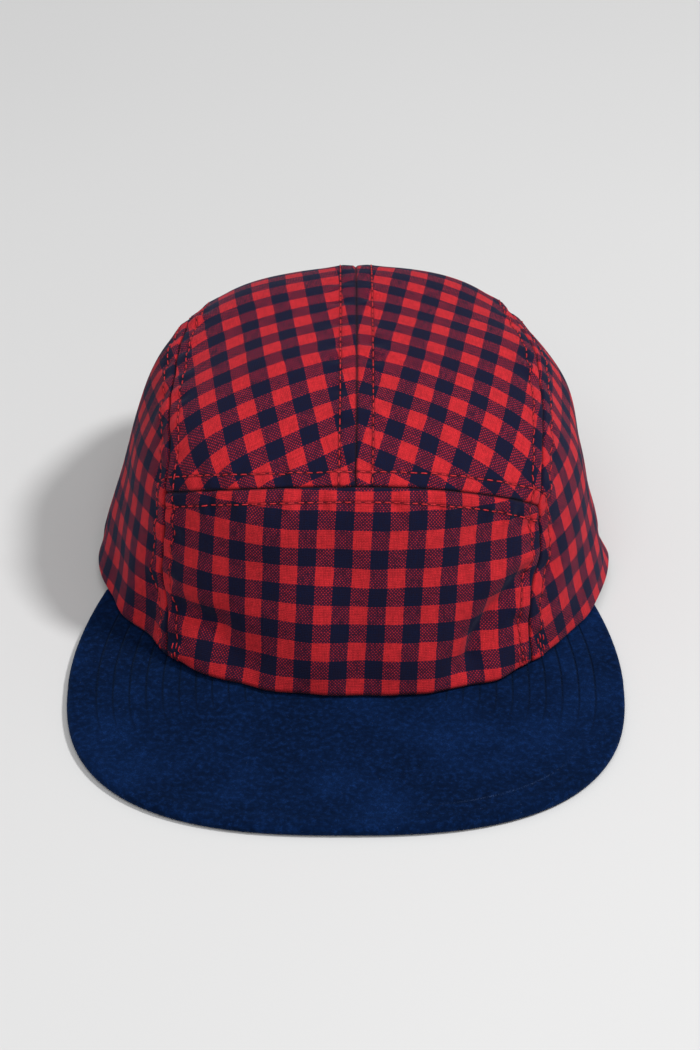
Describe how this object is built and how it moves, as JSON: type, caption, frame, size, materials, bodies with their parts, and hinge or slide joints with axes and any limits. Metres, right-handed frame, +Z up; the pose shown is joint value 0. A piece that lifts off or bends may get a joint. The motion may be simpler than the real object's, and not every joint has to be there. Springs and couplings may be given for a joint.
{
  "type": "camp cap",
  "caption": "Soft camp cap with a low gingham cloth crown, a wide flat suede brim and a plain strap with a slider across a half-round back opening.",
  "frame": {"origin": "middle of the footprint of the cap as it stands, on the floor under it", "axes": "+Z up, the brim points along -Y, +X is on the right of someone who looks at the front of the cap"},
  "size_m": [0.1876, 0.244, 0.0939],
  "materials": {
    "gingham": "plain-weave cotton, red and navy checks",
    "suede": "brushed navy suede cloth",
    "webbing": "matt navy webbing",
    "slider": "matt dark plastic"
  },
  "bodies": {
    "root": {"front_panel": "gingham", "top_panel_left": "gingham", "top_panel_right": "gingham", "side_panel_left": "gingham", "side_panel_right": "gingham", "brim": "suede", "back_strap": "webbing", "strap_slider": "slider"}
  },
  "joints": []
}
